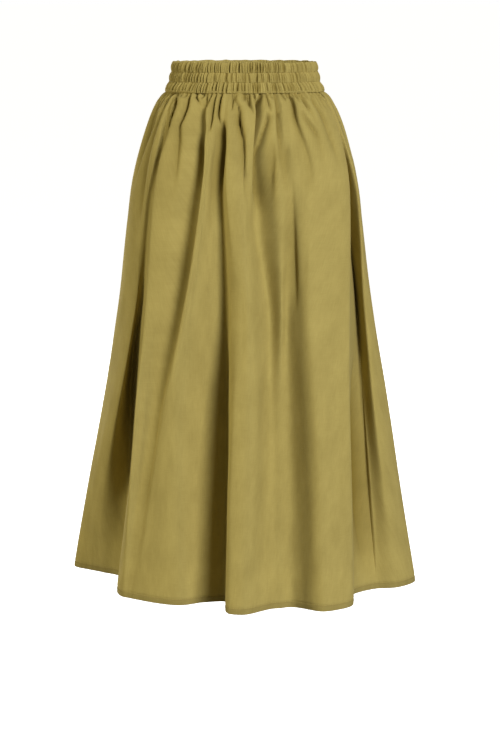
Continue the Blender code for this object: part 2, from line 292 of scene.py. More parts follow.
# Creases run down the cloth between the folds. Each station gives the drop, the angle, how deep
# the trough is there and its half width. They start where the gathers leave the waistband. Steep
# says how much one wall of the trough is steeper, + on the wearer's right and - on the left; the
# steep wall leans over the trough. Shade is painted into the cloth's colour in a trough, full from
# the hollow depth on.
CREASE_DEPTH = 2.9
CREASE_SPREAD = 1.3
CREASE_POWER = 1.3
CREASE_OVERHANG = 0.35
CREASE_WIDENING = 0.5
LEAN_PLACE = 0.75
LEAN_WIDTH = 0.5
HOLLOW_DEPTH = 15
Crease = namedtuple("Crease", "name stations steep", defaults=(0.55,))
BACK_CREASES = (
    Crease("side strip", ((22, 77, 2.5, 3), (48, 76.5, 3, 4), (85, 76, 3, 5), (130, 77, 0, 6))),
    Crease("side gather", ((22, 70.5, 3, 3), (45, 71.3, 4, 4), (72, 71, 4, 5), (95, 73, 3, 6),
                           (125, 75, 1.5, 7), (170, 76, 0, 8))),
    Crease("hip hollow", ((35, 61, 0, 3), (55, 62.5, 2.5, 4), (85, 64, 3, 6), (120, 65.5, 3, 8),
                          (165, 65, 3, 9), (230, 64, 0, 10))),
    Crease("left edge", ((22, 57, 3, 3), (37, 49.5, 4, 4), (60, 48.8, 5.5, 5), (97, 49.8, 4, 6),
                         (140, 52, 2, 6), (200, 53, 1, 7), (300, 57, 0, 8))),
    Crease("left pleat", ((22, 41.5, 3.5, 3), (41, 39, 4.5, 3.5), (58, 39, 4.5, 4),
                          (71, 40, 3, 5), (95, 38, 3, 7), (133, 37, 2, 8), (180, 36.5, 0, 9))),
    Crease("short pleat", ((22, 37, 2.5, 2.2), (30, 35, 2.5, 2.5), (44, 30, 0, 2.5))),
    Crease("long fold", ((22, 27.5, 3.5, 2.5), (35, 26.3, 4.5, 3), (55, 25.2, 6, 3.5),
                         (80, 23.4, 6, 4.5), (110, 23.4, 4, 5), (190, 23.8, 0, 6))),
    Crease("twin gather one", ((22, 20, 3, 2.5), (40, 19.6, 3.5, 3), (63, 19, 3, 3.5),
                               (85, 20, 0, 4))),
    Crease("twin gather two", ((22, 16, 3.5, 2.5), (42, 15.8, 4, 2.8), (55, 15.5, 3, 3),
                               (72, 14.2, 0, 3.5))),
    Crease("centre valley", ((62, 12.8, 0, 5), (80, 12.2, 4, 6), (100, 11.6, 5.5, 6),
                             (125, 12, 5.5, 7), (150, 12.8, 4, 8), (185, 14, 2, 9),
                             (230, 13, 0, 10))),
    Crease("short tuck", ((22, 9.2, 1.8, 2.2), (38, 7.8, 2, 2.5), (52, 7, 0, 2.5))),
    Crease("hooked gather", ((22, 4.6, 2.5, 2), (31, 5.4, 2.5, 2.2), (39, 3.6, 2.5, 2.6),
                             (48, 2.6, 3.5, 3), (58, 2.4, 5, 3.5), (71, 1.8, 5.5, 4.2),
                             (90, 0.4, 4, 5), (120, -0.6, 3, 6), (155, -1.7, 2, 7),
                             (190, -2.5, 0, 8))),
    Crease("forked gather", ((22, -1.8, 2, 2), (37, -3.4, 2.2, 2.5), (45, -4.8, 1.5, 2.5),
                             (58, -6, 0, 2.5))),
    Crease("centre gather", ((22, -11, 3.5, 2.2), (40, -7.8, 6, 2.5), (53, -7.6, 5, 2.2),
                             (62, -7.3, 4, 2.2), (115, -5.3, 5, 2.2), (160, -5.1, 4.5, 2.4),
                             (200, -6.6, 0, 3)), -0.7),
    Crease("slanting hollow", ((50, -14, 0, 3), (62, -12.5, 2.5, 4), (78, -10.3, 2.6, 4),
                               (95, -8.2, 2.4, 4), (110, -6.8, 2.2, 3.5), (135, -6.4, 2.2, 4),
                               (170, -6.9, 2.4, 6.5), (230, -9, 0, 11)), -0.7),
    Crease("small tuck", ((22, -14.8, 2, 2), (41, -15.8, 2, 2.5), (52, -16.5, 0, 2.5))),
    Crease("right gather", ((22, -23, 4, 1.8), (42, -22.6, 5.6, 2), (66, -21.6, 5.4, 2.6),
                            (81, -21.2, 4, 3.6), (100, -20.8, 2.4, 5), (140, -20, 0, 8))),
    Crease("right hollow one", ((90, -15.5, 0, 6), (115, -15.2, 1.6, 7), (145, -14, 2.4, 8),
                                (190, -13.5, 0, 9))),
    Crease("right hollow two", ((95, -24, 0, 6), (115, -23.5, 2, 7), (135, -22.8, 2, 8),
                                (180, -23, 0, 9))),
    Crease("right valley top", ((150, -25.5, 0, 4), (190, -25.5, 1, 5), (240, -25.6, 2, 6),
                                (300, -25.4, 2, 8), (360, -25, 0, 10))),
    Crease("far right gather", ((22, -33.3, 3.5, 2.5), (38, -33.5, 4, 3), (57, -32.3, 3.3, 4),
                                (77, -32.6, 2.4, 5), (96, -34, 1.9, 7), (116, -35.4, 1.6, 8),
                                (140, -35.8, 1.3, 9), (180, -36, 0, 10))),
    Crease("right tuck", ((22, -42.3, 2.5, 2.5), (40, -44.2, 3, 3), (50, -45.5, 1.5, 4),
                          (80, -47, 0, 5))),
    Crease("right ripple one", ((48, -37, 0, 4), (60, -39.5, 2, 5), (78, -44, 2.5, 6),
                                (95, -45.5, 1.5, 7), (140, -46.5, 0, 8))),
    Crease("pocket hollow", ((430, -70, 0, 10), (520, -68, 5, 15), (600, -65, 6.5, 19),
                             (690, -62, 4.5, 21), (785, -60, 0, 22)), 0.0),
    Crease("right ripple two", ((28, -51.5, 0, 3), (36, -52.7, 2, 4), (57, -55.6, 2.5, 5),
                                (81, -56.3, 2, 6), (98, -57, 1.5, 7), (140, -58, 0, 8))),
)

FRONT_CREASES = (
    Crease("left front gather", ((22, 92, 3, 3), (45, 93, 3.5, 4), (80, 95, 3, 6),
                                 (130, 98, 0, 7))),
    Crease("left front pleat", ((22, 101, 2.5, 2.5), (40, 102, 3, 3), (62, 103, 0, 4))),
    Crease("front fold one", ((22, 112, 3.5, 3), (50, 114, 4, 4), (100, 116, 3, 6),
                              (170, 117, 0, 8))),
    Crease("front tuck one", ((22, 121, 2.5, 2.2), (38, 122, 2, 2.5), (55, 122.5, 0, 3))),
    Crease("front gather one", ((22, 132, 3, 2.5), (44, 133.5, 3.8, 3), (75, 134, 3, 5),
                                (125, 135, 0, 7))),
    Crease("front tuck two", ((22, 139, 2.4, 2.2), (36, 139.5, 2, 2.5), (50, 140, 0, 3))),
    Crease("front gather two", ((22, 150, 3.5, 2.5), (50, 151.5, 4.2, 3), (90, 154, 3.5, 5),
                                (150, 156, 2, 8), (220, 157, 0, 10))),
    Crease("front tuck three", ((22, 160, 2.6, 2.2), (42, 161, 2.4, 2.6), (64, 162, 0, 3))),
    Crease("front gather three", ((22, 172, 3.2, 2.4), (46, 173, 3.8, 3), (84, 175, 2.5, 5),
                                  (128, 176, 0, 7))),
    Crease("centre front gather", ((22, 186, 3.5, 2.4), (40, 187, 4.5, 2.8), (70, 188.5, 4, 4),
                                   (120, 190, 2.5, 7), (190, 192, 0, 9))),
    Crease("front tuck four", ((22, 196, 2, 2.2), (36, 196, 2, 2.5), (52, 195.5, 0, 3))),
    Crease("front gather four", ((22, 207, 3.4, 2.5), (48, 209, 3.6, 3.2), (96, 213, 3, 6),
                                 (160, 216, 0, 8))),
    Crease("front tuck five", ((22, 219, 2.4, 2.2), (40, 219.5, 2.4, 2.6), (60, 220, 0, 3))),
    Crease("front gather five", ((22, 229, 3, 2.6), (44, 230, 3.6, 3.4), (80, 232, 2.6, 5),
                                 (130, 234, 0, 7))),
    Crease("right front pleat", ((22, 241, 2.8, 2.5), (50, 243, 3, 3.5), (90, 246, 0, 5))),
    Crease("right front gather", ((22, 252, 3.4, 3), (48, 254, 4, 4), (90, 256, 3.4, 6),
                                  (150, 258, 2, 8), (220, 258, 0, 10))),
    Crease("right side tuck", ((22, 264, 2.4, 2.5), (42, 265, 2.6, 3), (70, 266, 0, 4))),
    Crease("right side gather", ((22, 275, 2.6, 3), (50, 276, 3, 4), (88, 277, 2, 6),
                                 (130, 277, 0, 7))),
)


def crease_moves(creases, drops, table_angles, length_along):
    """How far the creases push each point inwards, and sideways so that a steep wall overhangs."""
    inward, sideways = np.zeros_like(table_angles), np.zeros_like(table_angles)
    for crease in creases:
        knots, rows = np.array(crease.stations)[:, 0], np.array(crease.stations)[:, 1:]
        side, steep = math.copysign(1, crease.steep), abs(crease.steep)
        for i in np.flatnonzero((drops >= knots[0]) & (drops <= knots[-1])):
            angle, depth, half_width = read_smooth(knots, rows, drops[i : i + 1])[0]
            centre = np.interp(angle, table_angles[i], length_along[i])
            off = (length_along[i] - centre) * side / max(half_width, 1)
            reach = np.where(off < 0, 1 - steep, 1 + CREASE_WIDENING * steep)
            slope = np.abs(off / reach / CREASE_SPREAD) ** CREASE_POWER
            inward[i] += CREASE_DEPTH * depth * np.exp(-slope)
            lean = np.exp(-(((off + LEAN_PLACE) / LEAN_WIDTH) ** 2))
            sideways[i] += side * CREASE_OVERHANG * steep * depth * lean
    return inward, sideways


NOISE_CELLS = 256
NOISE_START = 64


def soft_noise(across, down, cell_across, cell_down, seed):
    """Smooth uneven heights between -1 and 1 over the flat cloth, from one fixed seed."""
    heights = np.random.default_rng(seed).uniform(-1, 1, (NOISE_CELLS, NOISE_CELLS))
    u, v = across / cell_across + NOISE_START, down / cell_down + NOISE_START
    i, j = np.floor(u).astype(int), np.floor(v).astype(int)
    fu, fv = u - i, v - j
    fu, fv = fu * fu * (3 - 2 * fu), fv * fv * (3 - 2 * fv)
    left, right, top, bottom = (k % NOISE_CELLS for k in (i, i + 1, j, j + 1))
    high = heights[left, top] * (1 - fu) + heights[right, top] * fu
    low = heights[left, bottom] * (1 - fu) + heights[right, bottom] * fu
    return high * (1 - fv) + low * fv


PUCKER_ARC = (-72.0, 286)
PUCKER_PITCH = (2.6, 5.2)
PUCKER_CLEAR = 1.3
PUCKER_TOP = 22
PUCKER_LENGTH = (8, 32)
PUCKER_DEPTH = (2.2, 4.2)
PUCKER_WIDTH = (1.5, 2.5)
PUCKER_DRIFT = (-0.9, 0.9)
PUCKER_SEED = 11
# From a pucker's top to its end: the shares of its length, drift, depth and half width
PUCKER_STAGES = ((0, 0, 1, 1), (0.45, 0.5, 0.7, 1), (1, 1, 0, 1.3))
TAKEN_ABOVE = 30


def pucker_creases(taken):
    """Small gathers at the waist seam, all round, where no long crease starts."""
    chance = np.random.default_rng(PUCKER_SEED)
    angle, puckers = PUCKER_ARC[0], []
    while angle < PUCKER_ARC[1]:
        if all(abs((angle - a + 180) % 360 - 180) > PUCKER_CLEAR for a in taken):
            length, depth = chance.uniform(*PUCKER_LENGTH), chance.uniform(*PUCKER_DEPTH)
            width, drift = chance.uniform(*PUCKER_WIDTH), chance.uniform(*PUCKER_DRIFT)
            puckers.append(Crease("pucker", [
                (PUCKER_TOP + length * a, angle + drift * b, depth * c, width * d)
                for a, b, c, d in PUCKER_STAGES]))
        angle += chance.uniform(*PUCKER_PITCH)
    return tuple(puckers)


def band_of(drop, start, end):
    """Rise and fall of one soft hump between two drops."""
    return np.sin(np.pi * np.clip((drop - start) / (end - start), 0, 1)) ** 2


# Below the waist seam the cloth dips and then swells out, and it waves a little everywhere. The
# hem is pressed: a groove along its line of stitches, a step out and a turn in to the edge.
TUCK_LENGTH = 4
TUCKED_DEPTH = 0.45
SWELL, SWELL_RISE, SWELL_FADE = 2.0, 4, 28
WAIST_DIP, WAIST_DIP_REACH = 1.1, 2.5
WAVE_FADE = 60
Wave = namedtuple("Wave", "height across down seed")
CLOTH_WAVES = (Wave(1.1, 34, 170, 3), Wave(0.45, 13, 70, 4))
HEM_LINE = SKIRT_DROP - HEM_HEIGHT
HEM_GROOVE, HEM_GROOVE_REACH = 0.7, 1.0
HEM_STEP, HEM_STEP_REACH = 0.35, 1.5
HEM_TURN_IN = 1.1
HEM_RIPPLE = Wave(0.35, 5, 50, 6)
HEM_RIPPLE_DROPS = (780, 812)
# The row whose length round the skirt is the place across the flat cloth
FLAT_ROW = -12

places, column_counts = spread_columns()
left_seam_column = int(column_counts[: len(BACK_FOLDS)].sum())
crowded = np.linspace(0, 1, ROWS_ABOVE_HIP) ** ROW_CROWDING
drops = np.concatenate([
    TUCKED_ROWS,
    PANEL_TOP + (HIP_DROP - PANEL_TOP) * crowded,
    np.linspace(HIP_DROP, HEM_ROWS[0], ROWS_BELOW_HIP)[1:-1],
    HEM_ROWS,
])
plan = ring_points(drops, places)
heights = np.broadcast_to(-drops[:, None], plan.shape[:2])
form = np.concatenate([plan, heights[..., None]], axis=2)


def normals_of(points):
    """Outward normals on a closed grid of rows and columns."""
    along = np.roll(points, -1, axis=1) - np.roll(points, 1, axis=1)
    normal = np.cross(along, np.gradient(points, axis=0))
    return normal / np.linalg.norm(normal, axis=-1, keepdims=True)


fold_angles = read_smooth(FOLD_DROPS, np.array([f.angle for f in FOLDS]).T, drops)
fold_angles = np.concatenate([fold_angles, fold_angles[:, :1] + 360], axis=1)
whole = np.floor(places).astype(int)
table_angles = fold_angles[:, whole] + (places - whole) * (fold_angles[:, whole + 1]
                                                           - fold_angles[:, whole])
table_angles = np.maximum.accumulate(table_angles, axis=1)
steps = np.linalg.norm(np.diff(plan, axis=1), axis=-1)
length_along = np.concatenate([np.zeros((len(drops), 1)), np.cumsum(steps, axis=1)], axis=1)
cloth_across = np.broadcast_to(length_along[FLAT_ROW], length_along.shape)
drop_grid = np.broadcast_to(drops[:, None], length_along.shape)

long_creases = BACK_CREASES + FRONT_CREASES
starts = [crease.stations[0] for crease in long_creases]
taken = [start[1] for start in starts if start[0] < TAKEN_ABOVE]
creases = long_creases + pucker_creases(taken)
inward, sideways = crease_moves(creases, drops, table_angles, length_along)
# How deep each point lies in a crease, which sets the shade painted into its colour
hollow = np.clip(inward / HOLLOW_DEPTH, 0, 1)
below = drop_grid - PANEL_TOP
inside = drop_grid - HEM_LINE
tucked = TUCKED_DEPTH + (1 - TUCKED_DEPTH) * np.clip(below / TUCK_LENGTH, 0, 1)
inward, sideways = inward * tucked, sideways * tucked
hanging = np.maximum(below, 0)
inward -= SWELL * (1 - np.exp(-hanging / SWELL_RISE)) * np.exp(-hanging / SWELL_FADE)
inward += WAIST_DIP * np.exp(-np.abs(below) / WAIST_DIP_REACH)
waviness = np.clip(below / WAVE_FADE, 0, 1)
inward += waviness * sum(wave.height * soft_noise(cloth_across, drop_grid, *wave[1:])
                         for wave in CLOTH_WAVES)
inward += HEM_GROOVE * np.exp(-((inside / HEM_GROOVE_REACH) ** 2))
inward -= HEM_STEP * np.clip(inside / HEM_STEP_REACH, 0, 1)
inward += HEM_TURN_IN * np.clip(inside / HEM_HEIGHT, 0, 1)
ripple = soft_noise(cloth_across, 0 * drop_grid, *HEM_RIPPLE[1:])
inward += HEM_RIPPLE.height * ripple * band_of(drop_grid, *HEM_RIPPLE_DROPS)
along = np.roll(form, -1, axis=1) - np.roll(form, 1, axis=1)
along /= np.linalg.norm(along, axis=-1, keepdims=True)
form = form - normals_of(form) * inward[..., None] + along * sideways[..., None]


OLIVE = (0.424, 0.340, 0.106, 1)
OLIVE_SHADE = (0.306, 0.241, 0.070, 1)
THREAD_PITCH = 0.0008
WAVE_PERIOD = 0.314
Noise = namedtuple("Noise", "stretch scale detail roughness")
SLUBS = (Noise((900, 45, 1), 1, 3, 0.6), Noise((60, 1100, 1), 1, 3, 0.6))
MOTTLE = Noise((1, 0.4, 1), 38, 5, 0.62)
# How much the threads, both kinds of slubs and the mottling weigh in the tint
WEAVE_SHARES = (0.16, 0.9, 0.7, 1.7)
TINT_REACH = 0.6
WEAVE_RELIEF = 0.00025
# Painted light and shade down the flat panel, by the place in metres: painted light makes the
# single cloth above the hem a little lighter, as if lit through, with a cloudy upper limit, and
# painted shade makes the doubled hem below it a good shade deeper
HEM_PAINTED_LIGHT_AND_SHADE = ((-0.7940, 0.82), (-0.7920, 0.70), (-0.7910, 1.04), (-0.752, 1.05), (-0.735, 1.0))
# Painted shade deep in a crease, where the walls of cloth would shade each other
PAINTED_CREASE_SHADE = (0.52, 0.47, 0.28, 1)


def weave_nodes(tree, flat):
    """Threads, two kinds of slubs and mottling on the flat cloth, each as a height of 0 to 1."""
    def node(kind, **values):
        made = tree.nodes.new(kind)
        for key, value in values.items():
            made.inputs[key].default_value = value
        return made

    threads = node("ShaderNodeMath")
    threads.operation = "MULTIPLY"
    for side, direction in enumerate("XY"):
        wave = node("ShaderNodeTexWave", Scale=WAVE_PERIOD / THREAD_PITCH, Distortion=0.6)
        wave.bands_direction = direction
        tree.links.new(flat, wave.inputs["Vector"])
        tree.links.new(wave.outputs["Fac"], threads.inputs[side])
    heights = [threads.outputs[0]]
    for stretch, scale, detail, roughness in SLUBS + (MOTTLE,):
        place = node("ShaderNodeMapping", Scale=stretch)
        noise = node("ShaderNodeTexNoise", Scale=scale, Detail=detail, Roughness=roughness)
        tree.links.new(flat, place.inputs["Vector"])
        tree.links.new(place.outputs["Vector"], noise.inputs["Vector"])
        heights.append(noise.outputs["Fac"])
    return heights


def hem_light_and_shade(tree, flat):
    """Painted light and shade on the cloth by its place down the flat panel."""
    depth = tree.nodes.new("ShaderNodeSeparateXYZ")
    tree.links.new(flat, depth.inputs["Vector"])
    hem = tree.nodes.new("ShaderNodeMapRange")
    low, high = HEM_PAINTED_LIGHT_AND_SHADE[0][0], HEM_PAINTED_LIGHT_AND_SHADE[-1][0]
    hem.inputs["From Min"].default_value = low
    hem.inputs["From Max"].default_value = high
    tree.links.new(depth.outputs["Y"], hem.inputs["Value"])
    ramp = tree.nodes.new("ShaderNodeValToRGB")
    while len(ramp.color_ramp.elements) < len(HEM_PAINTED_LIGHT_AND_SHADE):
        ramp.color_ramp.elements.new(0.5)
    for stop, (height, tone) in zip(ramp.color_ramp.elements, HEM_PAINTED_LIGHT_AND_SHADE):
        stop.position = (height - low) / (high - low)
        stop.color = (tone, tone, tone, 1)
    tree.links.new(hem.outputs["Result"], ramp.inputs["Fac"])
    return ramp.outputs["Color"]


def cloth_material():
    """Olive linen and cotton cloth: matt, slightly napped, mottled from washing, with shade
    painted into its colour deep in the creases and painted light and shade near the hem.
    """
    material, shader = new_material("olive cloth")
    tree = material.node_tree
    place = tree.nodes.new("ShaderNodeUVMap")
    place.uv_map = "flat"
    flat = place.outputs["UV"]
    level = tree.nodes.new("ShaderNodeMapRange")
    level.inputs["From Min"].default_value = -TINT_REACH
    level.inputs["From Max"].default_value = TINT_REACH
    amount = level.inputs["Value"]
    for height, share in zip(weave_nodes(tree, flat), WEAVE_SHARES):
        weighed = tree.nodes.new("ShaderNodeMath")
        weighed.operation = "MULTIPLY_ADD"
        weighed.inputs[1].default_value = share
        weighed.inputs[2].default_value = -sum(WEAVE_SHARES) / 2
        tree.links.new(height, weighed.inputs[0])
        tree.links.new(weighed.outputs[0], amount)
        amount = weighed.inputs[2]
    # Painted shade: the colour darkens towards the painted crease shade deep in creases and
    # gathers
    hollow = tree.nodes.new("ShaderNodeAttribute")
    hollow.attribute_name = "hollow"
    tint = mix_colours(tree, level.outputs["Result"], OLIVE_SHADE, OLIVE)
    # Painted light and shade near the hem, multiplied into the cloth's colour
    colour_with_hem_light = mix_colours(tree, 1, tint, hem_light_and_shade(tree, flat), "MULTIPLY")
    crease_shade_mix = mix_colours(tree, hollow.outputs["Fac"], WHITE, PAINTED_CREASE_SHADE)
    colour_with_painted_shade = mix_colours(tree, 1, colour_with_hem_light, crease_shade_mix, "MULTIPLY")
    tree.links.new(colour_with_painted_shade, shader.inputs["Base Color"])
    bump = tree.nodes.new("ShaderNodeBump")
    bump.inputs["Strength"].default_value = 0.5
    bump.inputs["Distance"].default_value = WEAVE_RELIEF
    tree.links.new(level.outputs["Result"], bump.inputs["Height"])
    tree.links.new(bump.outputs["Normal"], shader.inputs["Normal"])
    shader.inputs["Roughness"].default_value = 0.88
    shader.inputs["Specular IOR Level"].default_value = 0.12
    shader.inputs["Sheen Weight"].default_value = 0.05
    shader.inputs["Sheen Roughness"].default_value = 0.5
    shader.inputs["Sheen Tint"].default_value = (0.75, 0.7, 0.45, 1)
    return material


def cloth_piece(name, points, faces, flat, hollow):
    """A piece of cloth from a grid of points. Its UVs are its place in the flat cloth, and hollow
    says how deep each point lies in a crease, which sets the shade painted into its colour there."""
    data = bpy.data.meshes.new(name)
    data.from_pydata((points * MM).reshape(-1, 3).tolist(), [], faces)
    corners = [corner for face in faces for corner in face]
    layer = data.uv_layers.new(name="flat")
    layer.data.foreach_set("uv", (flat * MM).reshape(-1, 2)[corners].ravel())
    data.attributes.new("hollow", "FLOAT", "POINT").data.foreach_set("value", hollow.ravel())
    data.shade_smooth()
    data.materials.append(olive)
    return add_object(name, data)


def sheet_mesh(name, points, flat, hollow):
    """An open grid of cloth, rows from the top down, with sharp edges along its border."""
    rows, columns = points.shape[:2]
    index = np.arange(rows * columns).reshape(rows, columns)
    quads = np.stack([index[:-1, :-1], index[:-1, 1:], index[1:, 1:], index[1:, :-1]], axis=-1)
    piece = cloth_piece(name, points, quads.reshape(-1, 4).tolist(), flat, hollow)
    ends = np.empty(2 * len(piece.data.edges), int)
    piece.data.edges.foreach_get("vertices", ends)
    row, column = np.divmod(ends.reshape(-1, 2).T, columns)
    border = [np.all(place == edge, axis=0) for place, edge in
              ((row, 0), (row, rows - 1), (column, 0), (column, columns - 1))]
    sharp = piece.data.attributes.new("sharp_edge", "BOOLEAN", "EDGE")
    sharp.data.foreach_set("value", np.any(border, axis=0))
    return piece


def add_thickness(piece, thickness):
    """Give a sheet its thickness, in mm, inwards from its outer face."""
    wall = piece.modifiers.new("thickness", "SOLIDIFY")
    wall.thickness = thickness * MM
    wall.offset = -1


# The sides are sewn in a shallow groove, and open at the pocket's mouth. A panel's widths are
# those of its flat cut at the top and the hem, and its opening is how far its edge falls back.
MOUTH_TOP = 78
MOUTH_BOTTOM = 255
MOUTH_EDGE = 7
SEAM_EDGE = 1.8
SEAM_DEPTH = 0.15
FLAT_HEIGHT = 777
CLOSING_STEP = 1.6
olive = cloth_material()
closing, outward, closing_hollow = (np.concatenate([grid, grid[:, :1]], axis=1)
                                    for grid in (form, normals_of(form), hollow))
closing_along = np.concatenate([length_along, length_along[:, -1:] + CLOSING_STEP], axis=1)
Panel = namedtuple("Panel", "name first last band top_width hem_width area opening")
PANELS = (
    Panel("back_panel", 0, left_seam_column, "back_waistband", 560, 980, 0.616, -1.0),
    Panel("front_panel", left_seam_column, len(places), "front_waistband", 520, 900, 0.568, 6.0),
)
panel_grids = {}
for panel in PANELS:
    part = slice(panel.first, panel.last + 1)
    points, normal, along = closing[:, part].copy(), outward[:, part], closing_along[:, part]
    from_edge = np.minimum(along - along[:, :1], along[:, -1:] - along)
    dip = SEAM_DEPTH * np.exp(-((from_edge / SEAM_EDGE) ** 2))
    mouth = panel.opening * np.exp(-((from_edge / MOUTH_EDGE) ** 2))
    points -= normal * (dip + mouth * band_of(drops, MOUTH_TOP, MOUTH_BOTTOM)[:, None])[..., None]
    across = along[FLAT_ROW] - along[FLAT_ROW, 0]
    share = across / across[-1] - 0.5
    flare = (drops - PANEL_TOP) / FLAT_HEIGHT
    widths = panel.top_width + (panel.hem_width - panel.top_width) * flare
    down = np.broadcast_to(-drops[:, None], points.shape[:2])
    flat = np.stack([share[None] * widths[:, None], down], axis=-1)
    panel_grids[panel.name] = (points, normal, flat)
    piece = sheet_mesh(panel.name + "_cloth", points, flat, closing_hollow[:, part])
    add_thickness(piece, CLOTH_THICKNESS)
    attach(piece, "root")
    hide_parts(panel.name)

# ---------------------------------------------------------------------------------------------
# Hems: the bottom of each panel is turned up once to the inside, a narrow band of doubled cloth
# that is pressed flat and held by one row of stitches.
# ---------------------------------------------------------------------------------------------
HEM_FOLD_DROPS = (SKIRT_DROP, SKIRT_DROP + 0.5, SKIRT_DROP + 0.5, 799.5, 796, 791.5)
HEM_FOLD_INSETS = (0.2, 0.5, 1.3, 1.9, 2.0, 1.9)
HEM_FLAT_STEP = 4
HEM_TURN_THICKNESS = 0.3
for panel in PANELS:
    points, normal, flat = panel_grids[panel.name]
    rows = points[-1] - normal[-1] * np.array(HEM_FOLD_INSETS)[:, None, None]
    rows[..., 2] = -np.array(HEM_FOLD_DROPS)[:, None]
    turned = np.stack([flat[-1] - (0, HEM_FLAT_STEP * k) for k in range(len(rows))])
    name = panel.name.replace("panel", "hem_turn")
    piece = sheet_mesh(name, rows, turned, 0 * rows[..., 0])
    add_thickness(piece, HEM_TURN_THICKNESS)
    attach(piece, "root")
    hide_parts(panel.name.replace("panel", "hem"))

# ---------------------------------------------------------------------------------------------
# Waistband: a folded casing of the same cloth, sewn in two rows round the waist so that it holds
# three channels of elastic. The elastic draws it into fine upright gathers that differ from one
# channel to the next, and its lower edge is sewn over the gathered top of the panels.
# ---------------------------------------------------------------------------------------------
BAND_DROP = 22.5
BAND_SECTIONS = (
    Section(-BAND_DROP, 112.5, 92, 88),
    Section(-7.5, 114.5, 94, 90),
    Section(7.5, 118, 96.5, 92.5),
    Section(BAND_DROP, 125, 101, 97),
)
CHANNELS = 3
CHANNEL_HEIGHT = 2 * BAND_DROP / CHANNELS
CHANNEL_BULGE = 2.2
CHANNEL_ROWS = 12
BAND_COLUMNS = 700
GATHER_PITCH = (2.3, 3.9)
GATHER_DEPTH = (2.6, 4.4)
GATHER_WIDTH = (0.9, 1.5)
GATHER_SHARES = (1.0, 1.0, 0.8, 0.55, 0.3)
GATHER_SHADE = (0.2, 4.4)
GATHER_DRIFT = 0.8
GATHER_LEAN = 3.0
GATHER_AT_STITCHES = 0.6
GATHER_LIFT = 0.35
END_DIP, END_DIP_REACH = 0.8, 1.2
RIPPLE = 0.8
RIPPLE_CELLS = (9, 11)
RIPPLE_FADE = 12
BAND_FULLNESS = 1.35
# The edges and the inner face of the casing: drop, how far in, and how much of the gathers shows
CASING_REST = (
    (23.3, 0.3, 0.8), (23.6, 0.9, 0.5), (23.4, 2.0, 0.3), (22.4, 3.0, 0.2), (15, 3.2, 0.35),
    (7.5, 2.5, 0.5), (0, 3.0, 0.35), (-7.5, 2.5, 0.5), (-15, 3.0, 0.35), (-21.5, 2.8, 0.3),
    (-22.8, 2.2, 0.4), (-23.2, 1.3, 0.6), (-23.0, 0.4, 0.9),
)
WaistHalf = namedtuple("WaistHalf", "name start end panel seed")
WAIST_HALVES = (
    WaistHalf("back_waistband", -72, 104, "back_panel_cloth", 21),
    WaistHalf("front_waistband", 104, 288, "front_panel_cloth", 22),
)


def elastic_gathers(along, slant, channel_places, seed):
    """How deep the gathers are at each row and column: uneven folds, a channel at a time."""
    chance = np.random.default_rng(seed)
    inward = np.zeros((len(channel_places), len(along)))
    centre = chance.uniform(*GATHER_PITCH)
    while centre < along[-1]:
        depth, width = chance.uniform(*GATHER_DEPTH), chance.uniform(*GATHER_WIDTH)
        for channel in range(CHANNELS):
            share = chance.choice(GATHER_SHARES)
            start, lean = chance.normal(0, GATHER_DRIFT, 2)
            for row, place in enumerate(channel_places):
                t = place - channel
                if 0 <= t <= 1:
                    off = (along - centre - start - (lean + slant) * (t - 0.5)) / width
                    middle = math.sin(math.pi * t)
                    swell = GATHER_AT_STITCHES + (1 - GATHER_AT_STITCHES) * middle
                    inward[row] += share * depth * swell * np.exp(-(off**2))
        centre += chance.uniform(*GATHER_PITCH)
    return inward


def casing_mesh(name, points, flat, hollow):
    """A closed casing: rings of points from end to end, joined round and capped at both ends."""
    rows, columns = points.shape[:2]
    index = np.arange(rows * columns).reshape(rows, columns)
    below = np.roll(index, -1, axis=0)
    quads = np.stack([index[:, :-1], index[:, 1:], below[:, 1:], below[:, :-1]], axis=-1)
    caps = [index[:, 0].tolist(), index[::-1, -1].tolist()]
    return cloth_piece(name, points, quads.reshape(-1, 4).tolist() + caps, flat, hollow)


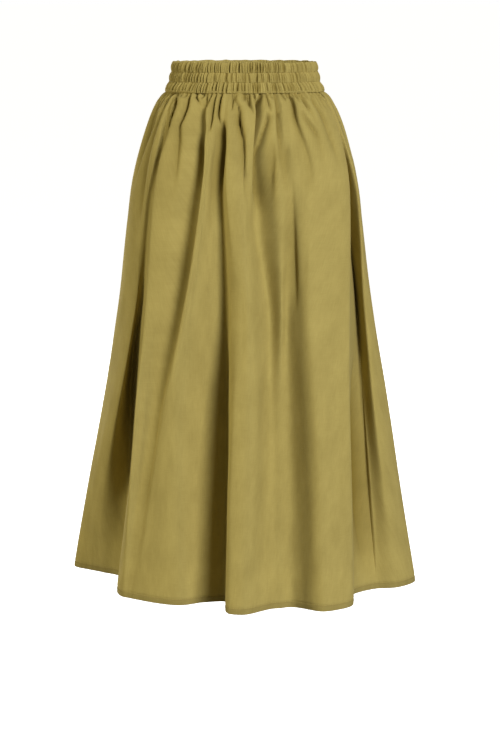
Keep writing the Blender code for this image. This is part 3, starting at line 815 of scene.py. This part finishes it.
row_share = (1 - np.cos(np.linspace(0, np.pi, CHANNEL_ROWS + 1))) / 2
channel_places = np.concatenate([k + row_share[:-1] for k in range(CHANNELS)] + [[CHANNELS]])
outer_drops = channel_places * CHANNEL_HEIGHT - BAND_DROP
rest = np.array(CASING_REST)
casing_drops = np.concatenate([outer_drops, rest[:, 0]])
bulges = CHANNEL_BULGE * np.abs(np.sin(np.pi * channel_places))
casing_insets = np.concatenate([-bulges, rest[:, 1]])
casing_down = -np.cumsum(np.abs(np.diff(casing_drops, prepend=-BAND_DROP)))
stitch_rows = {}
for half in WAIST_HALVES:
    angle = np.radians(np.linspace(half.start, half.end, BAND_COLUMNS))
    plain = plain_points(BAND_SECTIONS, casing_drops, angle)
    outward_plan = plain / np.linalg.norm(plain, axis=-1, keepdims=True)
    edge = plain[len(outer_drops) - 1]
    band_along = np.concatenate([[0], np.cumsum(np.linalg.norm(np.diff(edge, axis=0), axis=1))])
    slant = GATHER_LEAN * np.sin(angle) ** 3
    folds = elastic_gathers(band_along, slant, channel_places, half.seed)
    edge_folds = np.where(rest[:, :1] > 0, folds[-2], folds[1]) * rest[:, 2:]
    folds = np.concatenate([folds, edge_folds])
    from_end = np.minimum(band_along, band_along[-1] - band_along)
    dip = END_DIP * np.exp(-((from_end / END_DIP_REACH) ** 2))
    inset = casing_insets[:, None] + folds - GATHER_LIFT + dip
    plan_points = plain - outward_plan * inset[..., None]
    free = np.clip((BAND_DROP - casing_drops) / RIPPLE_FADE, 0, 1)[:, None]
    band_places = np.broadcast_arrays(band_along, casing_drops[:, None])
    ripple = free * RIPPLE * soft_noise(*band_places, *RIPPLE_CELLS, half.seed)
    heights = -(casing_drops[:, None] + ripple)
    points = np.concatenate([plan_points, heights[..., None]], axis=-1)
    flat = np.stack(np.broadcast_arrays(band_along * BAND_FULLNESS, casing_down[:, None]), axis=-1)
    # Shade painted into the casing's colour deep between its gathers
    hollow = np.clip((folds - GATHER_SHADE[0]) / (GATHER_SHADE[1] - GATHER_SHADE[0]), 0, 1)
    piece = casing_mesh(half.name + "_cloth", points, flat, hollow)
    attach(piece, "root")
    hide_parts(half.name)
    stitch_rows[half.name] = [points[CHANNEL_ROWS * k] for k in (1, 2)]

# ---------------------------------------------------------------------------------------------
# Pocket bags: two D-shaped leaves of the same cloth, sewn round their edge and hung inside from
# the mouth that is left open in each side seam. They reach forward behind the front panel.
# ---------------------------------------------------------------------------------------------
POCKET_CENTRE = 190
POCKET_HALF_HEIGHT = 135
POCKET_CLEARANCE = 2.4
POCKET_LEAF = 0.8
POCKET_FULLNESS = 2.4
POCKET_COLUMNS = 44
POCKET_ROWS = 48
POCKET_END = 0.1
LEAF_WIDTH = 170
TANGENT_STEP = 0.04
PocketBag = namedtuple("PocketBag", "name seam forward behind ahead")
POCKET_BAGS = (
    PocketBag("left_pocket_bag", len(BACK_FOLDS), 1, 0.5, 3.5),
    PocketBag("right_pocket_bag", len(FOLDS), -1, 0.5, 3.5),
)


def pocket_leaf(bag, depth_of):
    """One leaf of a bag: a D-shaped grid that lies inside the panel at its own depth."""
    columns = []
    for share in np.linspace(0, 1, POCKET_COLUMNS):
        step = -bag.behind + (bag.behind + bag.ahead) * share
        round_edge = max(math.sqrt(1 - (max(step, 0) / bag.ahead) ** 2), POCKET_END)
        down = np.linspace(-1, 1, POCKET_ROWS) * round_edge
        leaf_drops = POCKET_CENTRE + POCKET_HALF_HEIGHT * down
        beside = np.array([-TANGENT_STEP, 0, TANGENT_STEP])
        track = ring_points(leaf_drops, bag.seam + bag.forward * step + beside)
        along = track[:, 2] - track[:, 0]
        along /= np.linalg.norm(along, axis=-1, keepdims=True)
        outward_plan = np.stack([-along[:, 1], along[:, 0]], axis=-1)
        depth = depth_of(share, down / round_edge)
        plan_points = track[:, 1] - outward_plan * depth[:, None]
        columns.append(np.concatenate([plan_points, -leaf_drops[:, None]], axis=-1))
    return np.stack(columns[:: bag.forward], axis=1)


def bag_swell(share, down):
    """How far the two leaves part: nothing at the sewn edge, most in the middle."""
    return POCKET_LEAF + POCKET_FULLNESS * math.sin(math.pi * share) * np.cos(down * math.pi / 2)


for bag in POCKET_BAGS:
    outer = pocket_leaf(bag, lambda share, down: POCKET_CLEARANCE + 0 * down)
    inner = pocket_leaf(bag, lambda share, down: POCKET_CLEARANCE + bag_swell(share, down))
    points = np.concatenate([outer, inner[::-1]])
    spread = np.linspace(0, LEAF_WIDTH, POCKET_COLUMNS)
    flat = np.stack([np.broadcast_to(spread, points.shape[:2]), points[..., 2]], axis=-1)
    piece = casing_mesh(bag.name + "_cloth", points, flat, 0 * points[..., 0])
    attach(piece, "root")
    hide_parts(bag.name)

# ---------------------------------------------------------------------------------------------
# Stitches: olive sewing thread. Two rows hold the channels of the waistband, one row holds the
# turned-up hem, and a short row runs down the right side seam to the pocket's mouth.
# ---------------------------------------------------------------------------------------------
THREAD_COLOUR = (0.30, 0.225, 0.05, 1)
THREAD_SHADE = (0.21, 0.1575, 0.035, 1)
STITCH_SIZES = {"Pitch": 3.3 * MM, "Length": 2.5 * MM, "Thickness": 0.5 * MM, "Seed": 5}
STITCH_UNEVEN = (0.8, 1.15)
SEAM_STITCHES_TOP = 28
SEAM_STITCHES_COLUMN = 3


def thread_material():
    """Matt twisted sewing thread, a shade deeper than the cloth."""
    material, shader = new_material("olive thread")
    tree = material.node_tree
    place = tree.nodes.new("ShaderNodeTexCoord")
    twist = tree.nodes.new("ShaderNodeTexNoise")
    twist.inputs["Scale"].default_value = 900
    tree.links.new(place.outputs["Object"], twist.inputs["Vector"])
    shades = mix_colours(tree, twist.outputs["Fac"], THREAD_SHADE, THREAD_COLOUR)
    tree.links.new(shades, shader.inputs["Base Color"])
    shader.inputs["Roughness"].default_value = 0.7
    return material


def stitch_tree(material):
    """A row of stitches along every line of a mesh: short rounded threads with small gaps."""
    tree = bpy.data.node_groups.new("stitch row", "GeometryNodeTree")
    tree.interface.new_socket(name="Geometry", in_out="INPUT", socket_type="NodeSocketGeometry")
    tree.interface.new_socket(name="Geometry", in_out="OUTPUT", socket_type="NodeSocketGeometry")
    for name in ("Pitch", "Length", "Thickness"):
        tree.interface.new_socket(name=name, in_out="INPUT", socket_type="NodeSocketFloat")
    tree.interface.new_socket(name="Seed", in_out="INPUT", socket_type="NodeSocketInt")

    def node(kind, **settings):
        made = tree.nodes.new(kind)
        for key, value in settings.items():
            setattr(made, key, value)
        return made

    def join(source, output, target, socket):
        tree.links.new(source.outputs[output], target.inputs[socket])

    given, result = node("NodeGroupInput"), node("NodeGroupOutput")
    line = node("GeometryNodeMeshToCurve")
    spaced = node("GeometryNodeResampleCurve", mode="LENGTH")
    ball, rows = node("GeometryNodeMeshUVSphere"), node("GeometryNodeInstanceOnPoints")
    ball.inputs["Segments"].default_value = 6
    ball.inputs["Rings"].default_value = 4
    ball.inputs["Radius"].default_value = 0.5
    size, tangent = node("ShaderNodeCombineXYZ"), node("GeometryNodeInputTangent")
    turn = node("FunctionNodeAlignRotationToVector", axis="X")
    uneven = node("FunctionNodeRandomValue", data_type="FLOAT")
    uneven.inputs[2].default_value, uneven.inputs[3].default_value = STITCH_UNEVEN
    length = node("ShaderNodeMath", operation="MULTIPLY")
    realized, finish = node("GeometryNodeRealizeInstances"), node("GeometryNodeSetMaterial")
    finish.inputs["Material"].default_value = material
    join(given, "Geometry", line, "Mesh")
    join(line, "Curve", spaced, "Curve")
    join(given, "Pitch", spaced, "Length")
    join(spaced, "Curve", rows, "Points")
    join(ball, "Mesh", rows, "Instance")
    join(tangent, "Tangent", turn, "Vector")
    join(turn, "Rotation", rows, "Rotation")
    join(given, "Seed", uneven, "Seed")
    join(given, "Length", length, 0)
    join(uneven, 1, length, 1)
    join(length, 0, size, "X")
    join(given, "Thickness", size, "Y")
    join(given, "Thickness", size, "Z")
    join(size, 0, rows, "Scale")
    join(rows, "Instances", realized, "Geometry")
    join(realized, "Geometry", finish, "Geometry")
    join(finish, "Geometry", result, "Geometry")
    return tree


hem_stitches_row = len(drops) - len(HEM_ROWS) + HEM_ROWS.index(HEM_LINE)
seam_rows = (drops > SEAM_STITCHES_TOP) & (drops < MOUTH_TOP)
lines = [row for half in stitch_rows.values() for row in half]
lines += [panel_grids[panel.name][0][hem_stitches_row] for panel in PANELS]
lines.append(panel_grids["back_panel"][0][seam_rows, SEAM_STITCHES_COLUMN])
vertices = np.concatenate(lines) * MM
starts = np.cumsum([0] + [len(line) for line in lines])
edges = [(k, k + 1) for a, b in zip(starts, starts[1:]) for k in range(a, b - 1)]
guide_data = bpy.data.meshes.new("stitch guide")
guide_data.from_pydata(vertices.tolist(), edges, [])
guide = add_object("stitch guide", guide_data)
tree = stitch_tree(thread_material())
rows_of_stitches = guide.modifiers.new("stitches", "NODES")
rows_of_stitches.node_group = tree
for socket in tree.interface.items_tree:
    if socket.in_out == "INPUT" and socket.name in STITCH_SIZES:
        rows_of_stitches[socket.identifier] = STITCH_SIZES[socket.name]
ready = guide.evaluated_get(bpy.context.evaluated_depsgraph_get())
stitches = add_object("stitches", bpy.data.meshes.new_from_object(ready))
stitches.data.shade_smooth()
bpy.data.objects.remove(guide)
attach(stitches, "root")
